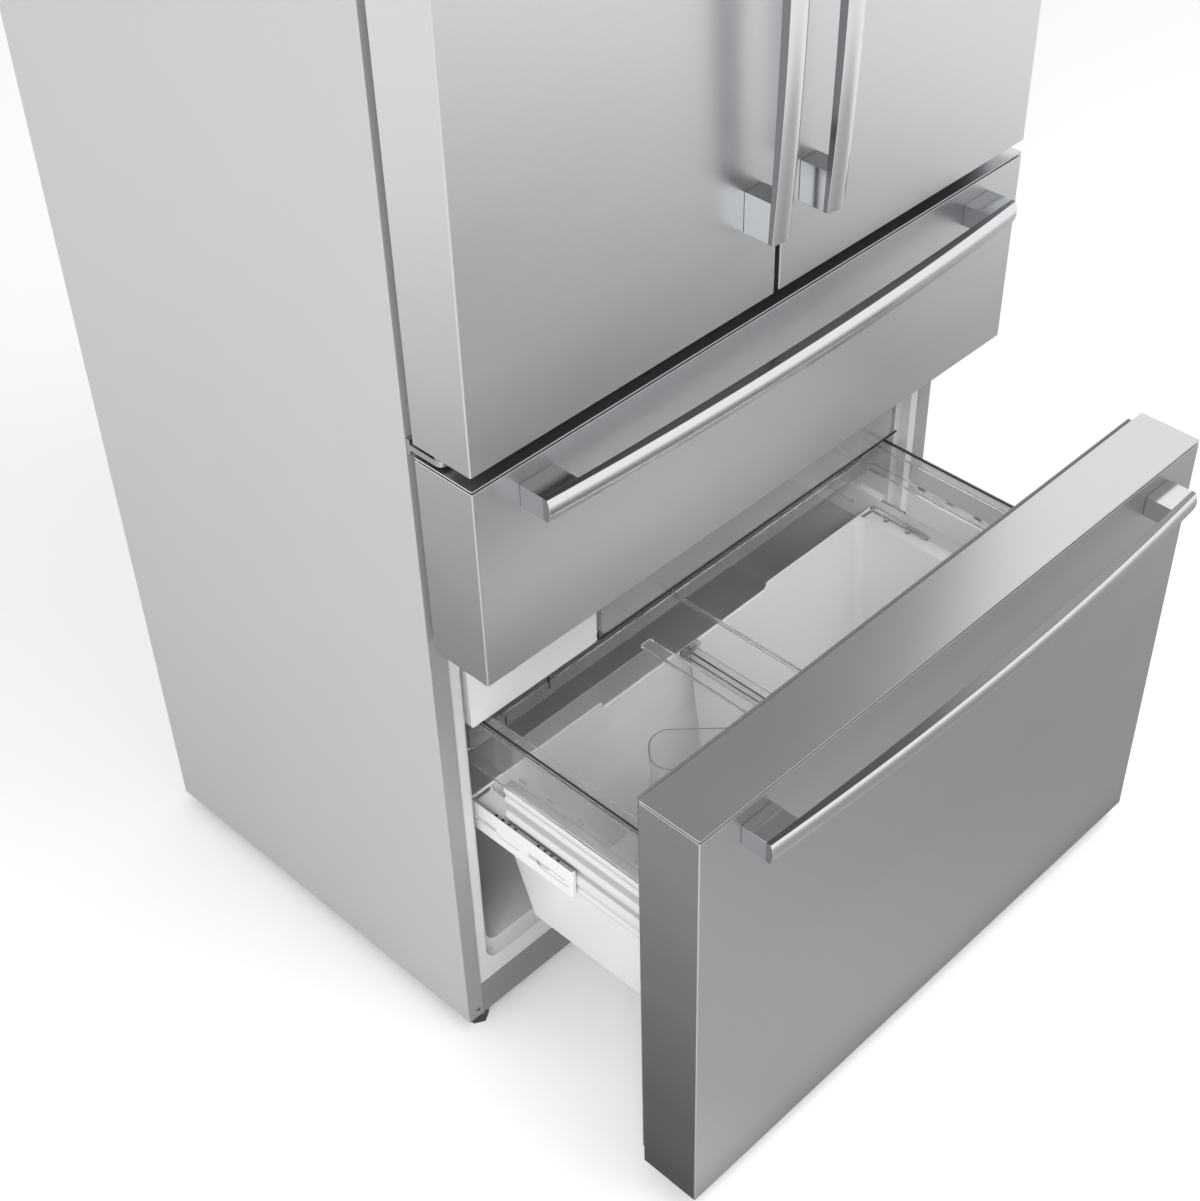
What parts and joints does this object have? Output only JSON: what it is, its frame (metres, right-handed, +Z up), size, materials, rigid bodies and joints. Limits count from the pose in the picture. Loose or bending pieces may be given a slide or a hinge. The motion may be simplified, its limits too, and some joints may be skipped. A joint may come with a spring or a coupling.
{
  "type": "bottom freezer refrigerator",
  "caption": "Free-standing refrigerator with two upper doors, a shallow middle drawer and a deep bottom freezer drawer on side rails that stands open.",
  "frame": {"origin": "centre of the bounding box at floor level, with the freezer drawer open as in the picture", "axes": "+Z up, +Y from the doors towards the back, +X to the right as seen from the front"},
  "size_m": [0.905, 1.073, 1.829],
  "materials": {
    "cabinet_paint": "satin",
    "frame_paint": "satin",
    "stainless_steel": "satin",
    "handle_steel": "satin",
    "liner_plastic": "satin",
    "white_plastic": "gloss",
    "foam": "matte",
    "gasket_rubber": "matte",
    "zinc_plate": "satin",
    "black_paint": "satin",
    "fin_aluminium": "satin",
    "dark_nylon": "matte",
    "clear_plastic": "gloss",
    "shelf_glass": "gloss"
  },
  "bodies": {
    "cabinet": {"cabinet_wrapper": "cabinet_paint", "rear_panel": "zinc_plate", "insulation": "foam", "kick_plate": "frame_paint", "base_tray": "zinc_plate", "machine_cover": "zinc_plate", "foot_left": "zinc_plate", "foot_right": "zinc_plate", "fresh_food_liner": "liner_plastic", "middle_liner": "liner_plastic", "freezer_liner": "liner_plastic", "top_hinge_left": "zinc_plate", "hinge_cover_left": "frame_paint", "middle_hinge_left": "zinc_plate", "top_hinge_right": "zinc_plate", "hinge_cover_right": "frame_paint", "middle_hinge_right": "zinc_plate", "compressor": "black_paint", "condenser": "fin_aluminium", "fan_bracket": "zinc_plate", "evaporator": "fin_aluminium", "evaporator_cover": "white_plastic", "ice_maker": "white_plastic", "glass_shelf": "shelf_glass", "crisper_cover": "shelf_glass", "crisper_left": "clear_plastic", "crisper_right": "clear_plastic", "freezer_rail_left": "white_plastic", "freezer_rail_right": "white_plastic"},
    "left_door": {"door_skin_left": "stainless_steel", "door_panel_left": "liner_plastic", "door_gasket_left": "gasket_rubber", "door_handle_left": "handle_steel", "door_bin_left": "clear_plastic"},
    "flip_mullion": {"flip_mullion": "frame_paint"},
    "right_door": {"door_skin_right": "stainless_steel", "door_panel_right": "liner_plastic", "door_gasket_right": "gasket_rubber", "door_handle_right": "handle_steel", "door_bin_right": "clear_plastic"},
    "middle_drawer": {"middle_drawer_skin": "stainless_steel", "middle_drawer_handle": "handle_steel", "middle_drawer_gasket": "gasket_rubber", "middle_drawer_panel": "liner_plastic", "middle_drawer_tub": "white_plastic"},
    "freezer_drawer": {"freezer_drawer_skin": "stainless_steel", "freezer_drawer_handle": "handle_steel", "freezer_drawer_gasket": "gasket_rubber", "freezer_drawer_panel": "liner_plastic", "freezer_clear_frame": "clear_plastic", "freezer_tub": "white_plastic", "tub_divider": "clear_plastic", "drawer_profile_left": "white_plastic", "drawer_profile_right": "white_plastic"},
    "freezer_slides": {"slide_member_left": "white_plastic", "slide_member_right": "white_plastic"},
    "freezer_upper_tray": {"freezer_upper_tray": "clear_plastic"},
    "condenser_fan": {"condenser_fan": "dark_nylon"},
    "roller_left": {"roller_left": "dark_nylon"},
    "roller_right": {"roller_right": "dark_nylon"}
  },
  "joints": [
    {"name": "left_door_hinge", "type": "hinge", "parent": "cabinet", "child": "left_door", "pos_m": [-0.4405, -0.12045, 1.3725], "axis": [0, 0, -1], "range_deg": [0, 120]},
    {"name": "right_door_hinge", "type": "hinge", "parent": "cabinet", "child": "right_door", "pos_m": [0.4405, -0.12045, 1.3725], "axis": [0, 0, 1], "range_deg": [0, 120]},
    {"name": "flip_mullion_hinge", "type": "hinge", "parent": "left_door", "child": "flip_mullion", "pos_m": [-0.038, -0.06805, 1.36975], "axis": [0, 0, -1], "range_deg": [0, 90]},
    {"name": "middle_drawer_slide", "type": "slide", "parent": "cabinet", "child": "middle_drawer", "axis": [0, -1, 0], "range_m": [0, 0.4]},
    {"name": "freezer_drawer_slide", "type": "slide", "parent": "cabinet", "child": "freezer_drawer", "axis": [0, -1, 0], "range_m": [-0.305, 0.1]},
    {"name": "freezer_slide_members", "type": "slide", "parent": "cabinet", "child": "freezer_slides", "axis": [0, -1, 0], "range_m": [-0.1525, 0.05]},
    {"name": "upper_tray_slide", "type": "slide", "parent": "cabinet", "child": "freezer_upper_tray", "axis": [0, -1, 0], "range_m": [0, 0.25]},
    {"name": "condenser_fan_spin", "type": "hinge", "parent": "cabinet", "child": "condenser_fan", "pos_m": [0.073, 0.42255, 0.12], "axis": [1, 0, 0], "continuous": true},
    {"name": "roller_left_spin", "type": "hinge", "parent": "cabinet", "child": "roller_left", "pos_m": [-0.4, 0.48255, 0.026], "axis": [1, 0, 0], "continuous": true},
    {"name": "roller_right_spin", "type": "hinge", "parent": "cabinet", "child": "roller_right", "pos_m": [0.4, 0.48255, 0.026], "axis": [1, 0, 0], "continuous": true}
  ],
  "couplings": [
    {"joint": "freezer_slide_members", "follows": "freezer_drawer_slide", "ratio": 0.5}
  ]
}
